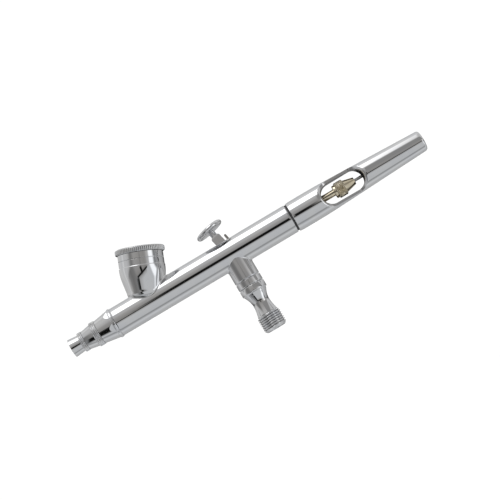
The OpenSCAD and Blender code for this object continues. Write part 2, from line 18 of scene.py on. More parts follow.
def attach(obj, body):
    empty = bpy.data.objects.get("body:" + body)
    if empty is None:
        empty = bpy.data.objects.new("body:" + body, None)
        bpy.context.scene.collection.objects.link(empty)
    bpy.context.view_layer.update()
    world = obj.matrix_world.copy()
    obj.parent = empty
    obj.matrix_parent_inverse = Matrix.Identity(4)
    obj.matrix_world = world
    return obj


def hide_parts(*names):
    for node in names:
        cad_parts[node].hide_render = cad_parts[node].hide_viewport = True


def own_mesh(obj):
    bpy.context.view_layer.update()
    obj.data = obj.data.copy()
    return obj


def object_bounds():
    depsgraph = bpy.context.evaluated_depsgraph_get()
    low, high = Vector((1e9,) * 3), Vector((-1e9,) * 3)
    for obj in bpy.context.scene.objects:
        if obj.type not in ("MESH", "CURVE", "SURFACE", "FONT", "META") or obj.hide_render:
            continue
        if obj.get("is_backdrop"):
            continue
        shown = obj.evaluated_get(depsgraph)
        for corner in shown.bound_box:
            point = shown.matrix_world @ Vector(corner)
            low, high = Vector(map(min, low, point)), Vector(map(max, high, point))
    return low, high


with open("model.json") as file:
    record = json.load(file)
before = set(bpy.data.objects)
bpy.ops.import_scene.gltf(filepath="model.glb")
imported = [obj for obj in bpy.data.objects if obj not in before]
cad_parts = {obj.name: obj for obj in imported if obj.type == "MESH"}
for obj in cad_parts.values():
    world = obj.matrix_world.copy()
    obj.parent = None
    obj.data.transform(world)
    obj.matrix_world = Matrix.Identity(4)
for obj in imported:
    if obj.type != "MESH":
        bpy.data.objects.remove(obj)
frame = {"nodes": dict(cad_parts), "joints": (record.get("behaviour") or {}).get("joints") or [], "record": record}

CAD_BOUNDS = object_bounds()

MM = 0.001
X = Vector((1, 0, 0))
Y = Vector((0, 1, 0))
Z = Vector((0, 0, 1))
TURN = 2 * math.pi
JOINTS = {joint["name"]: joint for joint in frame["joints"]}
SLOTS = {part["node"]: part["material_slot"] for part in frame["record"]["subparts"]}

# ---------------- measuring the frame


def span(node, direction=X):
    """Lowest and highest place of a CAD node along a direction."""
    places = [v.co.dot(direction) / MM for v in frame["nodes"][node].data.vertices]
    return min(places), max(places)


AXIS_Z = sum(span("needle", Z)) / 2


def reach(node, direction=Y):
    """Half the width of a CAD node: the radius of a round one."""
    low, high = span(node, direction)
    return (high - low) / 2


def about_barrel(along, radius, angle):
    """A point round the barrel's axis, at X = along; angle 0 is up and a quarter turn is +Y."""
    return Vector((along, radius * math.sin(angle), AXIS_Z + radius * math.cos(angle)))


def about_valve(along, radius, angle):
    """A point round the valve's upright axis, at a height along from the barrel's axis."""
    return Vector((radius * math.cos(angle), radius * math.sin(angle), AXIS_Z + along))


def about(origin, axis):
    """The same for an axis in the XZ plane that starts at origin."""
    side = Y.cross(axis)

    def place(along, radius, angle):
        out = side * math.cos(angle) + Y * math.sin(angle)
        return origin + axis * along + out * radius

    return place


# ---------------- shapes


def placed(name, data):
    """A new object in the scene."""
    obj = bpy.data.objects.new(name, data)
    bpy.context.scene.collection.objects.link(obj)
    return obj


def smoothed(obj, sharp=40):
    """Shades an object smoothly but for its sharp edges, with wide faces kept flat."""
    obj.data.shade_smooth()
    obj.data.set_sharp_from_angle(angle=math.radians(sharp))
    obj.modifiers.new("even_shading", "WEIGHTED_NORMAL").keep_sharp = True
    return obj


class Shape:
    """Points and faces gathered before they become one mesh."""

    def __init__(self):
        self.points = []
        self.faces = []

    def row(self, points):
        start = len(self.points)
        self.points.extend(points)
        return range(start, len(self.points))

    def skin(self, rows, closed=True):
        """Quads between each row of points and the next one."""
        numbered = [self.row(points) for points in rows]
        for low, high in zip(numbered, numbered[1:]):
            count = len(low)
            for i in range(count if closed else count - 1):
                j = (i + 1) % count
                self.faces.append((low[i], low[j], high[j], high[i]))

    def lid(self, points):
        """One flat face across a closed row."""
        self.faces.append(tuple(self.row(points)))

    def mesh(self, name, sharp=40):
        """The finished object: welded, facing outwards, smooth but for its sharp edges."""
        mesh = bpy.data.meshes.new(name)
        mesh.from_pydata([p * MM for p in self.points], [], self.faces)
        work = bmesh.new()
        work.from_mesh(mesh)
        bmesh.ops.remove_doubles(work, verts=work.verts, dist=0.0004 * MM)
        bmesh.ops.dissolve_degenerate(work, edges=work.edges, dist=0.0002 * MM)
        bmesh.ops.recalc_face_normals(work, faces=work.faces)
        work.to_mesh(mesh)
        work.free()
        return smoothed(placed(name, mesh), sharp)


def prism(name, rows):
    """A solid through rows of points, closed at both ends."""
    shape = Shape()
    shape.skin(rows)
    shape.lid(rows[0])
    shape.lid(rows[-1])
    return shape.mesh(name)


def angles(columns):
    return [TURN * i / columns for i in range(columns)]


def steps(first, last, count):
    """count + 1 even values from first to last."""
    return [first + (last - first) * i / count for i in range(count + 1)]


def arc(along, radius, size, first, last, count=8):
    """Outline points on an arc about (along, radius); 0 degrees points outwards."""
    turns = [math.radians(a) for a in steps(first, last, count)]
    return [(along + size * math.sin(a), radius + size * math.cos(a)) for a in turns]


def soft(outline, size, closed=False, count=3):
    """The outline with its corners rounded off to about the given radius."""
    made = []
    last = len(outline) - 1
    for i, corner in enumerate(outline):
        here = Vector(corner)
        before = Vector(outline[i - 1]) - here
        after = Vector(outline[(i + 1) % len(outline)]) - here
        shorter = min(before.length, after.length)
        open_end = not closed and i in (0, last)
        bend = before.angle(after, math.pi)
        if open_end or shorter < 1e-6 or bend > math.radians(168):
            made.append(tuple(here))
            continue
        cut = min(size / math.tan(bend / 2), shorter * 0.45)
        start = here + before.normalized() * cut
        end = here + after.normalized() * cut
        for t in steps(0, 1, count):
            made.append(tuple(start * (1 - t) ** 2 + here * 2 * t * (1 - t) + end * t * t))
    return made


def turned(shape, place, outline, columns=96, ring=True, cut=None):
    """Turns an outline of (along, radius) points; cut may lower the radius at an angle."""
    rows = []
    for along, radius in outline + (outline[:1] if ring else []):
        row = []
        for angle in angles(columns):
            depth = min(radius, cut(along, angle)) if cut else radius
            row.append(place(along, depth, angle))
        rows.append(row)
    shape.skin(rows)
    return shape


def wave(t):
    """A triangle wave from 0 to 1 and back over one unit."""
    return 1 - abs(2 * (t % 1) - 1)


def diamonds(top, depth, teeth, first, last, edge=0.45):
    """Radius of a diamond-knurled band between two places along, rounded over its width."""
    pitch = TURN * top / teeth
    middle = (first + last) / 2
    half = (last - first) / 2

    def cut(along, angle):
        if not first + 1e-6 < along < last - 1e-6:
            return math.inf
        turn = teeth * angle / TURN
        left = wave(turn + along / pitch)
        right = wave(turn - along / pitch)
        pyramid = top - depth + depth * min(1, 1.25 * min(left, right))
        bead = top - edge + math.sqrt(max(0, half**2 - (along - middle) ** 2))
        return min(pyramid, bead)

    return cut


def band(first, last, top, edge=0.45, count=22):
    """Outline rows across a knurled band, from its first edge to its last."""
    inner = [(along, top) for along in steps(first, last, count)[1:-1]]
    return [(first, top - edge)] + inner + [(last, top - edge)]


def obround(middle, half_length, half_height, count=120):
    """Points round a slot as (along, across, normal along, normal across)."""
    straight = half_length - half_height
    quarter = math.pi * half_height / 2
    total = 4 * straight + 4 * quarter
    made = []
    for i in range(count):
        at = (i + 0.5) * total / count
        leg, rest = divmod(at, total / 2)
        sign = 1 if leg == 0 else -1
        if rest < 2 * straight:
            point = (straight - rest, half_height, 0, 1)
        else:
            turn = math.pi / 2 + (rest - 2 * straight) / half_height
            out = (math.cos(turn), math.sin(turn))
            point = (-straight + half_height * out[0], half_height * out[1], *out)
        made.append((middle + sign * point[0], sign * point[1], sign * point[2], sign * point[3]))
    return made


def between(first, last, t):
    """A direction t of the way round from one direction to another."""
    angle = first.angle(last)
    if angle < 1e-6:
        return first.copy()
    return (first * math.sin((1 - t) * angle) + last * math.sin(t * angle)) / math.sin(angle)


def unrolled(point, seam):
    """(X, angle) of a point round the barrel's axis, with the angle below the seam."""
    angle = math.atan2(point.y, point.z - AXIS_Z)
    while angle > seam:
        angle -= TURN
    while angle < seam - TURN:
        angle += TURN
    return point.x, angle


def inside(loop, points):
    """Which points lie inside a closed loop."""
    points = np.asarray(points)
    hit = np.zeros(len(points), bool)
    for (x0, y0), (x1, y1) in zip(loop, np.roll(loop, -1, axis=0)):
        crosses = (y0 > points[:, 1]) != (y1 > points[:, 1])
        rise = y1 - y0 if abs(y1 - y0) > 1e-12 else 1e-12
        hit ^= crosses & (points[:, 0] < x0 + (points[:, 1] - y0) / rise * (x1 - x0))
    return hit


def pierced_wall(shape, stations, radius_at, holes, seam, columns=144, clear=0.16):
    """A wall round the barrel's axis, open inside each hole, a loop of points on it."""
    scale = radius_at(stations[len(stations) // 2])
    loops = [np.array([unrolled(p, seam) for p in hole]) * (1, scale) for hole in holes]
    grid = np.array([(x, (seam - TURN + TURN * j / columns) * scale)
                     for x in stations for j in range(columns + 1)])
    for loop in loops:
        near = np.zeros(len(grid), bool)
        for corner in loop:
            near |= np.hypot(*(grid - corner).T) < clear
        grid = grid[~(near | inside(loop, grid))]
    points = []
    edges = []
    for loop in loops:
        start = len(points)
        points.extend(map(tuple, loop))
        edges.extend((start + i, start + (i + 1) % len(loop)) for i in range(len(loop)))
    points.extend(map(tuple, grid))
    found = delaunay_2d_cdt([Vector(p) for p in points], edges, [], 0, 1e-5)
    flat = np.array([tuple(v) for v in found[0]])
    faces = found[2]
    middles = np.array([flat[list(f)].mean(axis=0) for f in faces])
    drop = np.zeros(len(faces), bool)
    for loop in loops:
        drop |= inside(loop, middles)
    start = len(shape.points)
    shape.points.extend(about_barrel(x, radius_at(x), a / scale) for x, a in flat)
    for face, gone in zip(faces, drop):
        if not gone:
            shape.faces.append(tuple(start + i for i in face))


def slot_wall(shape, facing, loop, outer, inner, rim, count=6):
    """The rounded rim and the wall of a slot cut in from the side that facing points to.

    Returns the slot's edge on the outer surface and on the inner bore.
    """
    across = Vector((0, facing.z, -facing.y))
    centre = Vector((0, 0, AXIS_Z))
    rows = [[] for _ in range(count + 2)]
    for x, t, nx, nt in loop:
        normal = X * nx + across * nt
        side = t + rim * nt
        depth = math.sqrt((outer - rim) ** 2 - side**2)
        ball = centre + X * (x + rim * nx) + across * side + facing * depth
        up = (across * side + facing * depth).normalized()
        for k in range(count + 1):
            rows[k].append(ball + rim * between(up, -normal, k / count))
        deep = math.sqrt(inner**2 - t**2)
        rows[-1].append(centre + X * x + across * t + facing * deep)
    shape.skin(rows)
    return rows[0], rows[-1]


def window_wall(shape, facing, loop, outer_at, inner, count=8):
    """The broad rim and the wall of a window: nearly flat along it, rounded at its ends."""
    across = Vector((0, facing.z, -facing.y))
    centre = Vector((0, 0, AXIS_Z))
    rows = [[] for _ in range(count + 2)]
    for x, t, nx, nt in loop:
        end = nx * nx
        rim = 1.05 + 0.15 * end
        drop = 0.12 + 0.9 * end
        out = X * nx + across * nt
        side = t + rim * nt
        depth = math.sqrt(outer_at(x + rim * nx) ** 2 - side**2)
        edge = centre + X * x + across * t + facing * (depth - drop)
        rise = edge + out * rim + facing * drop
        bend = edge + out * rim * (0.5 - 0.35 * end) + facing * drop * (0.5 + 0.45 * end)
        for k, s in enumerate(steps(0, 1, count)):
            rows[k].append(rise * (1 - s) ** 2 + bend * 2 * s * (1 - s) + edge * s * s)
        deep = math.sqrt(inner**2 - t**2)
        rows[-1].append(centre + X * x + across * t + facing * deep)
    shape.skin(rows)
    return rows[0], rows[-1]


# ---------------- shader nodes


class Nodes:
    """Short ways to add and join the nodes of one tree."""

    def __init__(self, tree):
        self.tree = tree
        tree.nodes.clear()

    def feed(self, node, key, value):
        """Sets an input, or links it to another node's output."""
        if isinstance(value, bpy.types.NodeSocket):
            self.tree.links.new(value, node.inputs[key])
        else:
            node.inputs[key].default_value = value

    def add(self, kind, inputs=None, **settings):
        node = self.tree.nodes.new(kind)
        for key, value in settings.items():
            setattr(node, key, value)
        for key, value in (inputs or {}).items():
            self.feed(node, key, value)
        return node

    def math(self, operation, *values):
        return self.add("ShaderNodeMath", dict(enumerate(values)), operation=operation).outputs[0]

    def step(self, value, low, high):
        """0 below low, 1 above high and smooth between."""
        inputs = {"Value": value, "From Min": low, "From Max": high}
        node = self.add("ShaderNodeMapRange", inputs, interpolation_type="SMOOTHSTEP")
        return node.outputs["Result"]

    def window(self, value, rise, top, end, fall):
        """1 from top to end, falling to 0 at rise and at fall."""
        opened = self.step(value, rise, top)
        closed = self.step(value, fall, end)
        return self.math("MULTIPLY", opened, closed)

    def ramp(self, value, stops):
        node = self.add("ShaderNodeValToRGB", {"Fac": value})
        marks = node.color_ramp.elements
        while len(marks) < len(stops):
            marks.new(0.5)
        for mark, (place, colour) in zip(marks, stops):
            mark.position = place
            mark.color = (*colour, 1)
        return node.outputs["Color"]

    def mix(self, factor, first, second, blend="MIX"):
        inputs = {0: factor, 6: first, 7: second}
        node = self.add("ShaderNodeMix", inputs, data_type="RGBA", blend_type=blend)
        return node.outputs[2]


# ---------------- studio

MIRROR = 0.74  # share of the light that the plating throws back
SOFTBOX = (2.2, 2.2, 2.2, 1)
BLACK_FLAG = (0.006, 0.006, 0.006, 1)
BACKDROP = (1.05, 1.05, 1.05, 1)
FILL = (1.08, 1.08, 1.08, 1)


def tone(seen, warm=0.0):
    """Light that chrome shows as the given grey; warm tips it to red, below 0 to blue."""
    light = seen**2.2 / MIRROR
    return light * (1 + warm), light, light * (1 - warm)


# The greys in the three lists were read off the photo, across the barrel, boss, casing and cup,
# then thinned out, rounded and adjusted: this light is fitted to that one view.

# light round the X axis: degrees up from -Y, the grey it shows as in chrome, its warmth
ROUND = [
    (-180, 0.25, 0), (-168, 0.60, 0), (-150, 0.64, -0.01), (-125, 0.66, -0.01), (-98, 0.75, -0.02),
    (-88, 0.66, -0.02), (-77, 0.50, -0.02), (-67, 0.69, -0.02), (-25, 0.70, -0.02), (-18, 0.60, 0),
    (-11, 0.45, 0.02), (-3, 0.51, 0.03), (10, 0.54, 0.02), (22, 0.58, 0.02), (30, 0.64, 0.01),
    (44, 0.66, 0), (60, 0.70, 0), (88, 0.70, 0), (100, 0.79, 0), (125, 0.70, -0.01), (150, 0.72, 0),
    (168, 0.66, 0), (180, 0.25, 0)]

# light near the horizon towards the nose and the tail: the direction's X and its grey
SIDES = [(-1, 0.64), (-0.92, 0.46), (-0.8, 0.41), (-0.55, 0.45), (-0.3, 0.54), (0.3, 0.52),
         (0.5, 0.58), (0.66, 0.70), (0.74, 0.84), (0.82, 1.0), (0.9, 0.80), (0.96, 0.60), (1, 0.62)]

# the same for low directions
LOW_SIDES = [(-1, 0.68), (-0.86, 0.62), (-0.7, 0.42), (-0.6, 0.47), (-0.42, 0.70), (0.66, 0.70),
             (0.74, 0.98), (0.88, 0.98), (0.93, 0.50), (1, 0.42)]


def studio_light(net):
    """Colour of the light tent in each direction: panels, a bright softbox and dark flags."""
    ray = net.add("ShaderNodeTexCoord").outputs["Generated"]
    x, y, z = net.add("ShaderNodeSeparateXYZ", {"Vector": ray}).outputs
    lift = net.math("ARCTAN2", z, net.math("MULTIPLY", y, -1))
    degrees = net.math("MULTIPLY", lift, 360 / TURN)
    share = net.math("ADD", net.math("DIVIDE", degrees, 360), 0.5)
    along = net.math("MULTIPLY_ADD", x, 0.5, 0.5)
    wide = net.math("ABSOLUTE", x)
    tent = net.ramp(share, [(d / 360 + 0.5, tone(seen, warm)) for d, seen, warm in ROUND])
    ends = net.ramp(along, [(place / 2 + 0.5, tone(seen, 0.01)) for place, seen in SIDES])
    low_ends = net.ramp(along, [(place / 2 + 0.5, tone(seen, -0.02)) for place, seen in LOW_SIDES])

    def patch(heights, across):
        return net.math("MULTIPLY", net.window(degrees, *heights), across)

    outward = patch((-16, -7, 26, 44), net.step(wide, 0.34, 0.62))
    tent = net.mix(outward, tent, ends)
    below = patch((-80, -64, -16, -8), net.step(wide, 0.36, 0.44))
    tent = net.mix(below, tent, low_ends)
    # towards the tail the wall above the camera is a shade darker
    shade = patch((4, 12, 40, 47), net.step(x, 0.08, 0.15))
    tent = net.mix(shade, tent, (*tone(0.50, 0.01), 1))
    # the softbox above the camera
    box = patch((45, 55, 83, 94), net.window(x, -0.34, -0.16, 0.09, 0.26))
    tent = net.mix(box, tent, SOFTBOX)
    # dark flags: at the camera's height, a thin line below it, and one low towards the nose
    flag = patch((-18, -11, 1, 7.5), net.window(x, -0.10, -0.07, 0.05, 0.11))
    line = patch((-15, -13, -10, -8), net.step(wide, 0.52, 0.46))
    nose = patch((-62, -44, -16, -9), net.window(x, -0.62, -0.56, -0.41, -0.34))
    dark = net.math("MAXIMUM", flag, net.math("MAXIMUM", line, nose))
    tent = net.mix(dark, tent, BLACK_FLAG)
    # behind the object: a panel just above its height and a dark flag at its height
    behind = net.step(wide, 0.36, 0.22)
    panel = patch((147, 152, 162, 167), behind)
    tent = net.mix(panel, tent, (*tone(1.0), 1))
    back_flag = net.math("MULTIPLY", net.step(net.math("ABSOLUTE", degrees), 170, 176), behind)
    return net.mix(back_flag, tent, (*tone(0.12), 1))


def studio():
    """The world: the light tent in reflections, plain white behind the object."""
    world = bpy.data.worlds.new("studio")
    bpy.context.scene.world = world
    world.use_nodes = True
    net = Nodes(world.node_tree)
    tent = studio_light(net)
    path = net.add("ShaderNodeLightPath").outputs
    colour = net.mix(path["Is Diffuse Ray"], tent, FILL)
    colour = net.mix(path["Is Camera Ray"], colour, BACKDROP)
    sky = net.add("ShaderNodeBackground", {"Color": colour, "Strength": 1.0})
    net.add("ShaderNodeOutputWorld", {"Surface": sky.outputs[0]})


def floor():
    """A plain white floor well below the object, out of its reflections."""
    mesh = bpy.data.meshes.new("floor")
    work = bmesh.new()
    bmesh.ops.create_grid(work, x_segments=1, y_segments=1, size=6)
    work.to_mesh(mesh)
    work.free()
    obj = placed("floor", mesh)
    obj.location.z = CAD_BOUNDS[0].z - 0.25
    obj.visible_glossy = False
    paint = bpy.data.materials.new("white_floor")
    paint.use_nodes = True
    net = Nodes(paint.node_tree)
    matt = net.add("ShaderNodeBsdfDiffuse", {"Color": (0.97, 0.97, 0.97, 1)})
    net.add("ShaderNodeOutputMaterial", {"Surface": matt.outputs[0]})
    mesh.materials.append(paint)
    obj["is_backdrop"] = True


def soft_lamp():
    """A large soft lamp above the camera, for the parts that aren't plated."""
    light = bpy.data.lights.new("soft_lamp", "AREA")
    light.shape = "RECTANGLE"
    light.size = 0.5
    light.size_y = 0.4
    light.energy = 4
    lamp = placed("soft_lamp", light)
    lamp.location = (0, -0.35, 0.75)
    lamp.rotation_euler = (math.radians(25), 0, 0)
    lamp.visible_glossy = False


def camera():
    """Looks slightly up at the airbrush from its -Y side, rolled so that its tail rises."""
    distance = 0.545
    rise = math.radians(6.3)
    roll = math.radians(30.75)
    low, high = CAD_BOUNDS
    target = (low + high) / 2 + Vector((-0.0003, 0, 0.0025))
    target.y = 0
    forward = Vector((0, math.cos(rise), math.sin(rise)))
    lens = bpy.data.cameras.new("camera")
    lens.lens = 100
    lens.sensor_width = 36
    lens.clip_start = 0.01
    eye = placed("camera", lens)
    eye.rotation_mode = "QUATERNION"
    eye.rotation_quaternion = forward.to_track_quat("-Z", "Y") @ Quaternion((0, 0, 1), -roll)
    eye.location = target - forward * distance
    bpy.context.scene.camera = eye


# ---------------- materials


def principled(name):
    """A new material with its node tree, a Principled shader and object coordinates in mm."""
    material = bpy.data.materials.new(name)
    material.use_nodes = True
    net = Nodes(material.node_tree)
    shader = net.add("ShaderNodeBsdfPrincipled")
    net.add("ShaderNodeOutputMaterial", {"Surface": shader.outputs[0]})
    place = net.add("ShaderNodeTexCoord").outputs["Object"]
    mm = net.add("ShaderNodeMapping", {"Vector": place, "Scale": (1000, 1000, 1000)})
    return material, net, shader, mm.outputs[0]


def noise(net, place, scale, detail=3.0, stretch=(1, 1, 1)):
    spot = net.add("ShaderNodeMapping", {"Vector": place, "Scale": stretch}).outputs[0]
    inputs = {"Vector": spot, "Scale": scale, "Detail": detail}
    return net.add("ShaderNodeTexNoise", inputs).outputs[0]


def span_of(net, value, low, high):
    """Spreads a noise of about 0.3 to 0.7 over low to high."""
    inputs = {"Value": value, "From Min": 0.3, "From Max": 0.7, "To Min": low, "To Max": high}
    return net.add("ShaderNodeMapRange", inputs).outputs["Result"]


def bumped(net, shader, height, depth):
    """Raises the surface by height times depth, in mm."""
    inputs = {"Height": height, "Strength": 1.0, "Distance": depth * MM}
    net.feed(shader, "Normal", net.add("ShaderNodeBump", inputs).outputs[0])


def worn_edges(net, amount):
    """Where the shape turns sharply, as 0 to amount."""
    point = net.add("ShaderNodeNewGeometry").outputs["Pointiness"]
    return net.math("MULTIPLY", net.step(point, 0.52, 0.62), amount)


def painted_crevice_shade(net, tint, depth=0.5, shade=0.1):
    """The tint with painted shade: darker where the surface is shut in by its surroundings."""
    inputs = {"Color": (1, 1, 1, 1), "Distance": depth * MM}
    open_to = net.add("ShaderNodeAmbientOcclusion", inputs, samples=8).outputs["AO"]
    dark = net.mix(1.0, tint, (shade, shade, shade, 1), "MULTIPLY")
    return net.mix(net.step(open_to, 0.18, 0.7), dark, tint)


def metal(name, light, dark, rough, grain=None, ripple=0.0, edge=None):
    """A metal whose colour drifts between two tints, with smudges, painted shade in its grooves and, if asked, a
    grain.
    """
    material, net, shader, mm = principled(name)
    shader.inputs["Metallic"].default_value = 1.0
    drift = net.step(noise(net, mm, 0.18), 0.35, 0.65)
    tint = net.mix(drift, (*light, 1), (*dark, 1))
    if edge:
        tint = net.mix(worn_edges(net, 0.6), tint, (*edge, 1))
    # painted shade: the tint is darkened in grooves, threads and other recesses
    net.feed(shader, "Base Color", painted_crevice_shade(net, tint))
    net.feed(shader, "Roughness", span_of(net, noise(net, mm, 0.55, 6.0), *rough))
    if grain:
        scale, stretch, depth = grain
        bumped(net, shader, noise(net, mm, scale, 4.0, stretch), depth)
    elif ripple:
        bumped(net, shader, noise(net, mm, 1.6, 2.0), ripple)
    return material


TOOL_RINGS = (9.0, (1, 0.06, 0.06), 0.004)  # a grain: its scale, its stretch and its depth in mm


def chrome_plate():
    """Mirror plating with the faintest orange peel and polishing haze."""
    return metal("chrome_plate", (0.745, 0.745, 0.745), (0.715, 0.72, 0.735), (0.035, 0.075),
                 ripple=0.0006)


def pale_brass():
    """Turned brass under a thin nickel tint, with fine tool rings."""
    return metal("pale_brass", (0.83, 0.755, 0.60), (0.74, 0.655, 0.49), (0.12, 0.22), TOOL_RINGS,
                 edge=(0.90, 0.82, 0.66))


def plain_bore():
    """The drilled inside of a plated part, where the plating hardly reaches."""
    return metal("plain_bore", (0.30, 0.29, 0.28), (0.20, 0.20, 0.21), (0.25, 0.40),
                 TOOL_RINGS)


def yellow_brass():
    rings = (8.0, (1, 0.08, 0.08), 0.004)
    return metal("yellow_brass", (0.80, 0.62, 0.30), (0.66, 0.48, 0.22), (0.20, 0.34), rings,
                 edge=(0.90, 0.74, 0.42))


def stainless_steel():
    """Ground steel, its fine lines running along the part."""
    lines = (14.0, (0.05, 1, 1), 0.0008)
    return metal("stainless_steel", (0.52, 0.51, 0.49), (0.40, 0.40, 0.39), (0.09, 0.18), lines)


def spring_steel():
    """Drawn wire with a slight heat tint."""
    lines = (10.0, (1, 1, 1), 0.0015)
    return metal("spring_steel", (0.52, 0.51, 0.50), (0.42, 0.41, 0.42), (0.22, 0.36), lines)


def white_ptfe():
    """Waxy white plastic, a little translucent and marked by the cutter."""
    material, net, shader, mm = principled("white_ptfe")
    tint = net.mix(noise(net, mm, 0.8), (0.86, 0.86, 0.83, 1), (0.92, 0.92, 0.90, 1))
    net.feed(shader, "Base Color", tint)
    net.feed(shader, "Roughness", span_of(net, noise(net, mm, 1.5), 0.38, 0.52))
    shader.inputs["Subsurface Weight"].default_value = 0.1
    shader.inputs["Subsurface Scale"].default_value = 0.0006
    bumped(net, shader, noise(net, mm, 6.0, 3.0), 0.004)
    return material


def black_rubber():
    """Matt nitrile with a dusty bloom and a fine moulded grain."""
    material, net, shader, mm = principled("black_rubber")
    bloom = net.step(noise(net, mm, 1.2, 5.0), 0.45, 0.75)
    tint = net.mix(bloom, (0.016, 0.016, 0.017, 1), (0.045, 0.045, 0.047, 1))
    net.feed(shader, "Base Color", tint)
    net.feed(shader, "Roughness", span_of(net, noise(net, mm, 2.5), 0.45, 0.65))
    bumped(net, shader, noise(net, mm, 12.0, 3.0), 0.006)
    return material


MATERIALS = {make.__name__: make() for make in (
    chrome_plate, plain_bore, pale_brass, yellow_brass, stainless_steel, spring_steel, white_ptfe,
    black_rubber)}


def put(obj, node, body):
    """The new piece stands for a CAD node, rides on its body and takes its finish."""
    slot = SLOTS[node]
    obj.data.materials.clear()
    obj.data.materials.append(MATERIALS[slot])
    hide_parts(node)
    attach(obj, body)
    return obj


def plain_inside(obj, first, last, radius):
    """Gives the faces of a bore round the barrel's axis, between two places, a plain finish."""
    obj.data.materials.append(MATERIALS["plain_bore"])
    for face in obj.data.polygons:
        spot = face.center / MM
        deep = math.hypot(spot.y, spot.z - AXIS_Z) < radius
        if deep and first < spot.x < last:
            face.material_index = 1


# ---------------- cup and lid

CUP_AXIS = Vector(JOINTS["lid_lift"]["axis"]).normalized()
CUP_SIDE = Y.cross(CUP_AXIS)
BARREL_R = span("airbrush_body", Z)[1] - AXIS_Z


def cup_origin():
    """Where the cup's axis crosses the barrel's."""
    across = sum(span("cup_lid", CUP_SIDE)) / 2
    x = (across - CUP_SIDE.z * AXIS_Z) / CUP_SIDE.x
    return Vector((x, 0, AXIS_Z))


CUP = cup_origin()
MOUTH = span("paint_cup", CUP_AXIS)[1] - CUP.dot(CUP_AXIS)
BOWL_R = reach("paint_cup")
about_cup = about(CUP, CUP_AXIS)
CUP_COLUMNS = 144
BAND_R = BOWL_R - 0.15
CUP_BORE_R = BAND_R - 0.5
FUNNEL_NECK = (6.4, 3.2)
FUNNEL_END = (0.6, 0.9)


def bowl(w):
    """Radius of the bowl's side at height w: widest near the top, with a slight taper."""
    top = MOUTH - 5.55
    slope = 0.26
    turn = 5.0
    down = max(0.0, top - w)
    if down < turn:
        return BOWL_R - slope * down**2 / (2 * turn)
    return BOWL_R - slope * (down - turn / 2)


def underside():
    """Fine points down the bowl's side and round its bottom, as (height, radius)."""
    foot = 4.8
    bottom = 2.2
    tuck = 2.8
    side = [(w, bowl(w)) for w in steps(8.0, foot, 40)]
    turns = [math.radians(a) for a in steps(0, 90, 60)]
    round_end = [(foot - (foot - bottom) * math.sin(a), bowl(foot) - tuck * (1 - math.cos(a)))
                 for a in turns]
    flat = [(bottom, r) for r in steps(round_end[-1][1], 0, 40)]
    return side + round_end[1:] + flat[1:]


def off_barrel(point):
    """Distance of a point from the barrel's surface."""
    return math.hypot(point.y, point.z - AXIS_Z) - BARREL_R


def on_barrel(point):
    """The point moved straight in or out to the barrel's surface."""
    size = BARREL_R / math.hypot(point.y, point.z - AXIS_Z)
    return Vector((point.x, point.y * size, AXIS_Z + (point.z - AXIS_Z) * size))


def crossing(points, clearance=0.0):
    """Where a row of points first comes within a clearance of the barrel: (number, point)."""
    for i in range(1, len(points)):
        near = off_barrel(points[i]) - clearance
        if near <= 0:
            far = off_barrel(points[i - 1]) - clearance
            share = far / (far - near)
            return i - 1 + share, points[i - 1].lerp(points[i], share)
    return len(points) - 1, points[-1]


def part_way(points, number):
    low = min(int(number), len(points) - 2)
    return points[low].lerp(points[low + 1], number - low)


def braze_lines(count=12, fillet=0.55):
    """For each column of the cup: its points from the side down into the braze on the barrel."""
    lines = []
    for angle in angles(CUP_COLUMNS):
        points = [about_cup(w, r, angle) for w, r in underside()]
        meet = crossing(points)[1]
        start, first = crossing(points, fillet)
        line = [part_way(points, start * k / count) for k in range(count)]
        out = CUP_SIDE * math.cos(angle) + Y * math.sin(angle)
        up = Vector((0, meet.y, meet.z - AXIS_Z)).normalized()
        foot = on_barrel(meet + (out - up * out.dot(up)).normalized() * fillet)
        for t in steps(0, 1, 5):
            line.append(first * (1 - t) ** 2 + on_barrel(meet) * 2 * t * (1 - t) + foot * t * t)
        lines.append(line)
    return lines


def funnel_loop():
    """The funnel's edge where it passes through the barrel's surface."""
    loop = []
    side = list(zip(*(steps(neck, end, 40) for neck, end in zip(FUNNEL_NECK, FUNNEL_END))))
    for angle in angles(CUP_COLUMNS):
        cone = [about_cup(w, r, angle) for w, r in side]
        loop.append(on_barrel(crossing(cone)[1]))
    return loop


def cup_row(height, radius):
    return [about_cup(height, radius, angle) for angle in angles(CUP_COLUMNS)]


def paint_cup():
    """The bowl, open at the top, brazed to the barrel below and leading into its funnel."""
    groove = MOUTH - 2.6
    band_end = MOUTH - 5.2
    wall = 0.9
    edge = 0.1
    lip = 0.08
    outside = soft([
        (MOUTH, BAND_R), (groove + 0.15, BAND_R), (groove, BAND_R - 0.2), (groove - 0.15, BAND_R),
        (band_end + 0.2, BAND_R), (band_end, BAND_R), (band_end - 0.2, BOWL_R),
        (band_end - 0.4, BOWL_R)], 0.12)
    top = [(MOUTH, CUP_BORE_R + edge), (MOUTH, BAND_R - lip), (MOUTH - lip, BAND_R)]
    rows = [cup_row(w, r) for w, r in top + outside[1:]]
    rows += [cup_row(w, bowl(w)) for w in steps(band_end - 0.8, 8.3, 12)]
    rows += [list(row) for row in zip(*braze_lines())]
    rows += [funnel_loop(), cup_row(*FUNNEL_NECK)]
    rows += [cup_row(w, bowl(w) - wall) for w in steps(9.2, 13.0, 5)]
    bore = [(16.0, CUP_BORE_R), (MOUTH - edge, CUP_BORE_R), (MOUTH, CUP_BORE_R + edge)]
    rows += [cup_row(w, r) for w, r in bore]
    shape = Shape()
    shape.skin(rows)
    return put(shape.mesh("cup_bowl"), "paint_cup", "barrel")


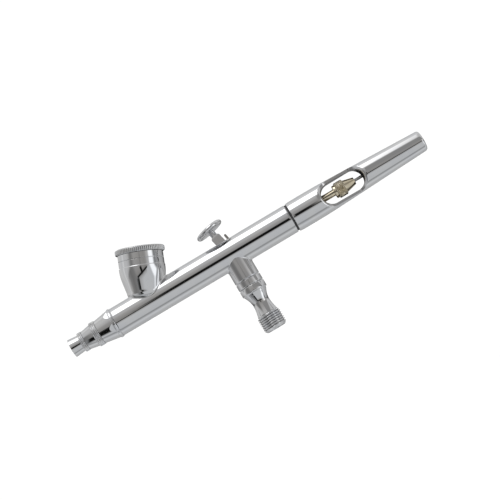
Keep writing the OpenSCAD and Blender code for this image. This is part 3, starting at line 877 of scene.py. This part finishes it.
def cup_lid():
    """The lid: a grooved rim with a dished top, a vent and a plug that fits the cup's mouth."""
    low, high = (place - CUP.dot(CUP_AXIS) for place in span("cup_lid", CUP_AXIS))
    rim = reach("cup_lid")
    teeth = 76
    groove = 0.42
    plug = CUP_BORE_R - 0.05
    dish = high - 0.4
    vent = 0.6
    under = MOUTH + 0.8

    def grooves(along, angle):
        if along < MOUTH + 0.02 or along > high - 1e-6:
            return math.inf
        across = 2 * (teeth * angle / TURN % 1) - 1
        return rim - groove + groove * math.sqrt(1 - across * across)

    outline = soft([(low, plug - 1), (low, plug), (MOUTH, plug), (MOUTH, rim - 0.5)], 0.12)
    outline += arc(MOUTH + 0.6, rim - 0.6, 0.6, -90, 0, 5)
    outline += arc(high - 0.8, rim - 0.8, 0.8, 0, 90, 8)
    outline += soft([(high, rim - 1.4), (high, 7.6), (dish, 7.3), (dish, vent + 0.15),
                     (dish - 0.15, vent), (under, vent), (under, 7.4), (low, 7.4)], 0.12)
    shape = turned(Shape(), about_cup, outline, teeth * 10, cut=grooves)
    return put(shape.mesh("knurled_lid"), "cup_lid", "lid")


# ---------------- barrel

SLOT_ENDS = (-5.3, 6.4)
SLOT_HALF = 1.8
SLOT_RIM = 0.22
CHAMBER = (-7.0, 12.0, 3.3)  # where the trigger's chamber starts and ends, and its radius
HEAD_BORE_R = 3.95
PAINT_BORE_R = 0.9
PACKING_R = 1.95
SCREW_R = 2.25
SPIGOT_R = 5.2
SPIGOT_BORE_R = 4.3
BOSS_R = 5.3
VALVE_BORE = (-9.6, 3.6)  # its upper end, from the barrel's axis, and its radius
WELL = (-6.6, 2.4)
FOOT_GUIDE_R = 1.45
COLLAR = 4.4  # length of the casing's collar that screws into the boss
SEAM = 0.35  # bevel at the boss's seams
VALVE_COLUMNS = 120


def boss_rows():
    """The fillet from the barrel down to the boss; its first row lies on the barrel."""
    fillet = 0.7
    count = 6
    rows = [[] for _ in range(count + 1)]
    for angle in angles(VALVE_COLUMNS):
        out = Vector((math.cos(angle), math.sin(angle), 0))
        ball = out * (BOSS_R + fillet)
        ball.z = -math.sqrt((BARREL_R + fillet) ** 2 - ball.y**2)
        to_barrel = Vector((0, -ball.y, -ball.z)).normalized()
        for k in range(count + 1):
            spot = ball + fillet * between(to_barrel, -out, k / count)
            rows[k].append(spot + Z * AXIS_Z)
    return rows


def well_loop():
    """Where the fork's well opens into the trigger chamber."""
    radius = WELL[1]
    loop = []
    for angle in angles(VALVE_COLUMNS):
        y = radius * math.sin(angle)
        z = AXIS_Z - math.sqrt(CHAMBER[2] ** 2 - y * y)
        loop.append(Vector((radius * math.cos(angle), y, z)))
    return loop


def barrel():
    """The tube with its slot, funnel, shoulder and spigot, and the boss for the valve."""
    front, spigot_end = span("airbrush_body")
    shoulder = span("handle_seal")[0]
    edge = 0.15
    bevel = 0.04
    columns = 144
    seam = math.pi / 2
    shape = Shape()
    middle = sum(SLOT_ENDS) / 2
    half = (SLOT_ENDS[1] - SLOT_ENDS[0]) / 2
    loop = obround(middle, half, SLOT_HALF, 96)
    outer, inner = slot_wall(shape, Z, loop, BARREL_R, CHAMBER[2], SLOT_RIM)
    boss = boss_rows()
    funnel = funnel_loop()
    rows = [front + edge, *steps(math.ceil(front), math.floor(shoulder), 79), shoulder - edge]
    pierced_wall(shape, rows, lambda x: BARREL_R, [outer, boss[0], funnel], seam, columns)
    rows = steps(CHAMBER[0], CHAMBER[1], 30)
    pierced_wall(shape, rows, lambda x: CHAMBER[2], [inner, well_loop()], seam, columns)
    head_end = span("head_seal")[1]
    packing = span("needle_packing")[0]
    packing_end = packing + 2.5
    turned(shape, about_barrel, [
        (front + edge, BARREL_R), (front + bevel, BARREL_R - bevel), (front, BARREL_R - edge),
        (front, HEAD_BORE_R), (head_end, HEAD_BORE_R), (head_end, PAINT_BORE_R),
        (packing, PAINT_BORE_R), (packing, PACKING_R), (packing_end, PACKING_R),
        (packing_end, SCREW_R), (CHAMBER[0], SCREW_R), (CHAMBER[0], CHAMBER[2])],
        columns, ring=False)
    rim = 0.2
    turned(shape, about_barrel, [
        (CHAMBER[1], CHAMBER[2]), (CHAMBER[1], SPIGOT_BORE_R), (spigot_end - rim, SPIGOT_BORE_R),
        (spigot_end, SPIGOT_BORE_R + rim), (spigot_end, SPIGOT_R - rim),
        (spigot_end - rim, SPIGOT_R), (shoulder, SPIGOT_R), (shoulder, BARREL_R - edge),
        (shoulder - bevel, BARREL_R - bevel), (shoulder - edge, BARREL_R)], columns, ring=False)
    # the boss, and inside it the valve's bore, the foot's guide and the well
    collar = span("valve_casing", Z)[1] - AXIS_Z
    lower = collar - COLLAR
    groove = collar - 1.5
    boss_outline = soft([
        (-8.2, BOSS_R), (groove + SEAM, BOSS_R), (groove, BOSS_R - SEAM), (groove - SEAM, BOSS_R),
        (lower + SEAM, BOSS_R), (lower, BOSS_R - SEAM), (lower, VALVE_BORE[1]), VALVE_BORE,
        (VALVE_BORE[0], FOOT_GUIDE_R), (WELL[0], FOOT_GUIDE_R), WELL], 0.08)
    skin = boss + [[about_valve(w, r, a) for a in angles(VALVE_COLUMNS)] for w, r in boss_outline]
    shape.skin(skin + [well_loop()])
    # the funnel's blind end, down to the paint passage
    tip = [cup_row(*FUNNEL_END), cup_row(FUNNEL_END[0], 0.0)]
    shape.skin([funnel] + tip)
    piece = put(shape.mesh("barrel_tube"), "airbrush_body", "barrel")
    plain_inside(piece, front + 1, spigot_end - 0.3, SPIGOT_BORE_R + 0.05)
    return piece


# ---------------- head and caps

SEAT_R = 1.55  # the nozzle's seat in the head


def head_base():
    """The head: a cone with wrench flats behind it, then a bead against the barrel."""
    front, rear = span("head_base")
    bead = reach("head_base")
    barrel_front = span("airbrush_body")[0]
    flats_end = barrel_front - 1.35
    flats_start = flats_end - 3
    cone = span("nozzle_cap")[1]
    cone_start_r = 4.95
    cone_end_r = 6.0
    neck = 3.7
    flat = 5.7
    turn = math.radians(-20)

    def flats(along, angle):
        if not flats_start < along < flats_end:
            return math.inf
        sixth = TURN / 6
        off = (angle + math.pi / 2 - turn + sixth / 2) % sixth - sixth / 2
        return flat / math.cos(off)

    def cone_r(x):
        return cone_start_r + (cone_end_r - cone_start_r) * (x - cone) / (flats_end - cone)

    tail = barrel_front + 4.3
    seat_end = front + 2.2
    soft_r = 0.45
    outline = soft([(front, SEAT_R), (front, neck), (cone, neck), (cone, cone_start_r)], 0.1)
    outline += [(cone + 0.1, cone_r(cone + 0.1)), (flats_start, cone_r(flats_start))]
    outline += [(x, cone_r(x)) for x in steps(flats_start + 0.001, flats_end - 0.001, 24)]
    outline += [(flats_end, cone_r(flats_end)), (flats_end, bead - 0.3)]
    outline += arc(flats_end + soft_r, bead - soft_r, soft_r, -70, 0, 4)
    outline += arc(barrel_front - soft_r, bead - soft_r, soft_r, 0, 70, 4)
    outline += [(barrel_front, bead - 0.3), (barrel_front, HEAD_BORE_R - 0.05),
                (tail, HEAD_BORE_R - 0.05), (tail, 1.9), (rear, 1.9), (rear, PAINT_BORE_R),
                (seat_end, PAINT_BORE_R), (seat_end, SEAT_R)]
    shape = turned(Shape(), about_barrel, outline, 288, cut=flats)
    return put(shape.mesh("head_cone"), "head_base", "barrel")


def nozzle_cap():
    """The cone behind the needle cap, with its diamond-knurled ring."""
    front, rear = span("nozzle_cap")
    joint = span("needle_cap")[1]
    top = reach("nozzle_cap", Z)
    knurl = rear - 2.5
    neck = 2.9
    thread = 3.75
    thread_end = rear - 3.2
    jet = 0.75
    outline = soft([(joint, neck), (joint, 3.95), (knurl, 4.72)], 0.1)
    outline += band(knurl, rear, top)
    outline += [(rear, thread), (thread_end, thread), (thread_end, 3.0), (front + 0.3, jet),
                (front, jet), (front, 1.6), (front + 0.1, 1.7), (front + 0.7, neck)]
    shape = turned(Shape(), about_barrel, outline, 336, cut=diamonds(top, 0.24, 56, knurl, rear))
    return put(shape.mesh("knurled_nozzle_cap"), "nozzle_cap", "nozzle_cap")


def needle_cap():
    """The flared guard round the needle's point."""
    front, rear = span("needle_cap")
    top = reach("needle_cap", Z)
    knurl = rear - 1.9
    mouth = 3.3
    bore = 2.95
    outline = soft([(front, mouth), (front, 3.85), (front + 0.35, 3.82), (knurl, 3.42)], 0.12)
    outline += band(knurl, rear, top)
    outline += soft([(rear, bore), (front + 2.8, bore), (front, mouth)], 0.1)
    shape = turned(Shape(), about_barrel, outline, 264, cut=diamonds(top, 0.22, 44, knurl, rear))
    return put(shape.mesh("flared_needle_cap"), "needle_cap", "needle_cap")


# ---------------- needle and chuck


def needle():
    front, rear = span("needle")
    radius = reach("needle", Z)
    point = 9.6
    outline = [(front, 0.0), (front, 0.03), (front + point, radius), (rear - 0.4, radius),
               (rear - 0.12, radius - 0.1), (rear, radius - 0.3), (rear, 0.0)]
    shape = turned(Shape(), about_barrel, outline, 48, ring=False)
    return put(shape.mesh("needle_rod", 60), "needle", "needle")


def spring_case():
    """The threaded barrel that holds the needle spring, with its rim and neck."""
    front, rear = span("spring_case")
    rim = reach("spring_case", Z)
    end = rear - 4.3
    rim_start = end - 3.7
    thread = 4.25
    room = 2.9
    room_end = end - 1.8
    bore = 1.45
    outline = soft([
        (front, room), (front, thread), (rim_start, thread), (rim_start, rim), (end - 0.4, rim),
        (end, rim - 0.4), (end, 2.2), (rear - 0.3, 2.1), (rear, 1.8), (rear, bore),
        (room_end, bore), (room_end, room)], 0.15, closed=True)
    shape = turned(Shape(), about_barrel, outline, 96)
    return put(shape.mesh("spring_barrel"), "spring_case", "spring_case")


def chuck_nut():
    """The knurled nut that grips the needle."""
    front, rear = span("chuck_nut")
    top = reach("chuck_nut", Z)
    first = front + 0.95
    last = front + 4.7
    collar = 2.7
    thread = 1.45
    needle_hole = 0.68
    outline = soft([(front, thread), (front, collar), (first, collar)], 0.12)
    outline += band(first, last, top, count=36)
    outline += soft([(last, 2.6), (last + 0.1, 2.55), (rear, 1.5), (rear, needle_hole),
                     (rear - 0.6, needle_hole), (rear - 2.2, thread)], 0.12)

    def ends(along, angle):
        edge = min(along - first, last - along)
        knurled = diamonds(top, 0.26, 34, first - 3, last + 3)
        return min(knurled(along, angle), top - 0.35 + edge) if 0 < edge else math.inf

    shape = turned(Shape(), about_barrel, outline, 272, cut=ends)
    return put(shape.mesh("knurled_chuck_nut"), "chuck_nut", "chuck_nut")


def coil(name, place, first, last, radius, wire, turns):
    """A spring of round wire with its end turns closed up."""
    per_turn = 40
    sides = 12
    count = int(turns * per_turn)
    flat = 0.9
    rise = (last - first - 2 * wire - 2 * flat * wire * 2) / (turns - 2 * flat)
    rows = []
    for i in range(count + 1):
        turn = i / per_turn
        middle = min(max(turn - flat, 0), turns - 2 * flat)
        closed = turn - middle
        along = first + wire + closed * 2 * wire + middle * rise
        angle = TURN * turn
        row = []
        for side in angles(sides):
            row.append(place(along + wire * math.sin(side), radius + wire * math.cos(side), angle))
        rows.append(row)
    return prism(name, rows)


def needle_spring():
    first, last = span("needle_spring")
    piece = coil("needle_return_spring", about_barrel, first, last, 2.1, 0.22, 15)
    put(piece, "needle_spring", "barrel")
    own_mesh(piece)


def valve_spring():
    first, last = (place - AXIS_Z for place in span("valve_spring", Z))
    piece = coil("valve_return_spring", about_valve, first, last, 1.4, 0.2, 7)
    put(piece, "valve_spring", "barrel")
    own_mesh(piece)


# ---------------- trigger


def rounded_box(half_a, half_b, corner, count=6):
    """Points round a rectangle with rounded corners, as (a, b)."""
    made = []
    corner = min(corner, half_a, half_b)
    for quarter, (sa, sb) in enumerate([(1, 1), (-1, 1), (-1, -1), (1, -1)]):
        for a in steps(quarter * 90, quarter * 90 + 90, count):
            turn = math.radians(a)
            made.append((sa * (half_a - corner) + corner * math.cos(turn),
                         sb * (half_b - corner) + corner * math.sin(turn)))
    return made


def combined(obj, other, operation):
    """Works the other solid into the object's mesh, and removes it."""
    obj.modifiers.clear()
    change = obj.modifiers.new("change", "BOOLEAN")
    change.operation = operation
    change.solver = "EXACT"
    change.object = other
    depsgraph = bpy.context.evaluated_depsgraph_get()
    mesh = bpy.data.meshes.new_from_object(obj.evaluated_get(depsgraph))
    obj.modifiers.clear()
    obj.data = mesh
    bpy.data.objects.remove(other)


def trigger():
    """The finger disc on its stem, forked round the foot and slotted for the needle."""
    pivot = Vector(JOINTS["trigger_pull"]["pos_m"]) / MM
    lean = math.radians(11.7)
    axis = Vector((-math.sin(lean), 0, math.cos(lean)))
    place = about(pivot, axis)
    side = Y.cross(axis)
    top = span("trigger", axis)[1] - pivot.dot(axis)
    disc = reach("trigger")
    rim = 1.0
    middle = top - rim
    stem = 1.35
    stem_start = 11.0
    hollow = top - 0.55
    outline = soft([(stem_start, 0.0), (stem_start, stem), (middle - 1.3, stem),
                    (middle - 0.35, 2.4)], 0.35)
    outline += arc(middle, disc - rim, rim, -130, 80, 18)
    outline += soft([(top - 0.15, disc - 2.0), (hollow, 2.2), (hollow, 0.0)], 0.6)
    head = turned(Shape(), place, outline, 96, ring=False).mesh("finger_disc")

    def at(along, a, b):
        return pivot + axis * along + side * a + Y * b

    def block(half_a, half_b, low, high):
        corners = [(half_a, half_b), (-half_a, half_b), (-half_a, -half_b), (half_a, -half_b)]
        return prism("cutter", [[at(w, a, b) for a, b in corners] for w in (low, high)])

    fork = 1.3
    width = 1.4
    blade = 2.0
    sections = [(-fork * math.cos(a), max(0.06, fork * math.sin(a)), width)
                for a in steps(0, math.pi / 2, 8)]
    sections += [(2.55, fork, width), (2.8, fork + 0.1, width), (3.05, blade - 0.05, width),
                 (3.2, blade, width), (11.8, blade, width), (12.05, blade - 0.05, width),
                 (12.4, 1.6, 1.36), (12.7, 1.25, 1.25)]
    rows = [[at(along, a, b) for a, b in rounded_box(half, deep, 0.3)]
            for along, half, deep in sections]
    piece = prism("trigger_lever", rows)
    needle_slot = block(3.0, 0.75, 1.9, 6.5)
    combined(piece, needle_slot, "DIFFERENCE")
    foot_slot = block(3.0, 0.55, -2.0, 1.3)
    combined(piece, foot_slot, "DIFFERENCE")
    combined(piece, head, "UNION")
    smoothed(piece)
    return put(piece, "trigger", "trigger")


# ---------------- handle


def handle():
    """The tail: a tube with a long window on each side, its rims rounded, closing to a cap."""
    front, rear = span("handle")
    top = reach("handle", Z)
    taper = front + 7.43
    turn = 10.0
    drop = 0.00205
    columns = 144
    room = 4.6
    cap = 1.2
    window = (50.4, 9.3, 4.3)

    def outer_at(x):
        along = x - taper
        if along < 0:
            return top
        if along < turn:
            return top - drop * along**2
        return top - drop * turn * (2 * along - turn)

    shape = Shape()
    outer_edges = []
    inner_edges = []
    for facing in (-Y, Y):
        outer, inner = window_wall(shape, facing, obround(*window), outer_at, room)
        outer_edges.append(outer)
        inner_edges.append(inner)
    start = front + 1.5
    room_start = 38.0
    room_end = 60.5
    rows = steps(start, rear - cap, 72)
    pierced_wall(shape, rows, outer_at, outer_edges, math.pi, columns)
    rows = steps(room_start, room_end, 28)
    pierced_wall(shape, rows, lambda x: room, inner_edges, math.pi, columns)
    thread = SPIGOT_R + 0.05
    tail_bore = 3.2
    tail_end = rear - 3
    end = outer_at(rear - cap)
    front_end = [(start, top), (front + 0.15, top - 0.1), (front, top - 0.25), (front, thread + 0.1),
                 (front + 0.1, thread), (room_start, thread), (room_start, room)]
    tail = [(room_end, room), (room_end, tail_bore), (tail_end, tail_bore), (tail_end, 0.0)]
    rounded_cap = arc(rear - cap, end - cap, cap, 0, 90, 10) + [(rear, 0.0)]
    for outline in (front_end, tail, rounded_cap):
        turned(shape, about_barrel, outline, columns, ring=False)
    piece = put(shape.mesh("windowed_handle"), "handle", "handle")
    plain_inside(piece, front, room_end + 0.1, room + 0.02)
    return piece


# ---------------- valve and seals


def waist(t):
    """Radius of the casing from its collar, at 0, to its thread, at 1."""
    throat = 0.47
    slim = 3.45
    if t < throat:
        return slim + (4.6 - slim) * (1 - t / throat) ** 2
    return slim + (4.3 - slim) * ((t - throat) / (1 - throat)) ** 1.6


def valve_casing():
    """The air valve's casing: collar, waist and a true helical pipe thread."""
    low, high = (place - AXIS_Z for place in span("valve_casing", Z))
    mount = frame["record"]["mounts"][0]["dims"]
    major = mount["r_mm"]
    thread_depth = 0.58
    pitch = 0.907
    thread_top = mount["length_mm"] / 2 - AXIS_Z
    thread_end = thread_top - mount["length_mm"]
    collar = high - COLLAR
    collar_end = collar - 3.0
    neck = collar_end - 0.6
    lip = 4.75
    spigot = VALVE_BORE[1] - 0.05
    inlet = 2.6
    spring_room = 2.3
    seat = 1.1
    guide = 1.7
    spring_end = high - 5.1

    def thread(along, angle):
        if along > thread_top + 0.01 or along < low + 0.02:
            return math.inf
        crest = min(1, 1.18 * wave(along / pitch - angle / TURN))
        fade = min(1, max(0, (thread_top - along) / 0.35))
        chamfer = major - max(0, thread_end - along)
        return min(major - thread_depth + thread_depth * crest * fade, chamfer)

    outline = soft([(high, spigot - 0.25), (high - 0.25, spigot), (collar, spigot),
                    (collar, BOSS_R - SEAM), (collar - SEAM, BOSS_R)], 0.08)
    outline += arc(collar_end + 0.6, BOSS_R - 0.6, 0.6, 0, -75, 6)
    outline += [(collar_end - 0.15, lip)]
    outline += [(neck + (thread_top + 0.05 - neck) * t, waist(t)) for t in steps(0, 1, 24)]
    outline += [(along, major) for along in steps(thread_top, low + 0.02, 110)]
    outline += [(low, 3.75), (low, inlet + 0.15), (low + 0.15, inlet), (low + 4.0, inlet),
                (low + 4.0, spring_room), (spring_end, spring_room), (spring_end, seat),
                (high - 2.2, seat), (high - 2.2, guide), (high, guide)]
    shape = turned(Shape(), about_valve, outline, 144, cut=thread)
    return put(shape.mesh("threaded_casing", 50), "valve_casing", "barrel")


def seal(name, node, body, place, along, inner, outer):
    """A rubber ring, its section rounded on every side."""
    low, high = along
    size = min(high - low, outer - inner) * 0.42
    section = [(low, inner), (low, outer), (high, outer), (high, inner)]
    outline = soft(section, size, closed=True, count=8)
    shape = turned(Shape(), place, outline, 96)
    return put(shape.mesh(name, 60), node, body)


def seals():
    gap = span("handle_seal")
    outer = reach("handle_seal", Z)
    seal("handle_o_ring", "handle_seal", "handle_ring", about_barrel, gap, SPIGOT_R, outer)
    gap = [place - AXIS_Z for place in span("casing_seal", Z)]
    outer = reach("casing_seal", X)
    seal("casing_o_ring", "casing_seal", "barrel", about_valve, gap, VALVE_BORE[1] - 0.05, outer)


# ---------------- carried-over nodes


def dress_frame():
    """Gives every CAD node that still shows its own finish."""
    for name, obj in frame["nodes"].items():
        if obj.hide_render:
            continue
        obj.data.materials.clear()
        obj.data.materials.append(MATERIALS[SLOTS[name]])


camera()
studio()
floor()
soft_lamp()
bpy.context.scene.view_settings.view_transform = "Standard"

paint_cup()
cup_lid()
barrel()
head_base()
nozzle_cap()
needle_cap()
needle()
spring_case()
chuck_nut()
needle_spring()
valve_spring()
trigger()
handle()
valve_casing()
seals()
dress_frame()

boxes = {"cad": CAD_BOUNDS, "visual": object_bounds()}
{name: [list(low), list(high)] for name, (low, high) in boxes.items()}
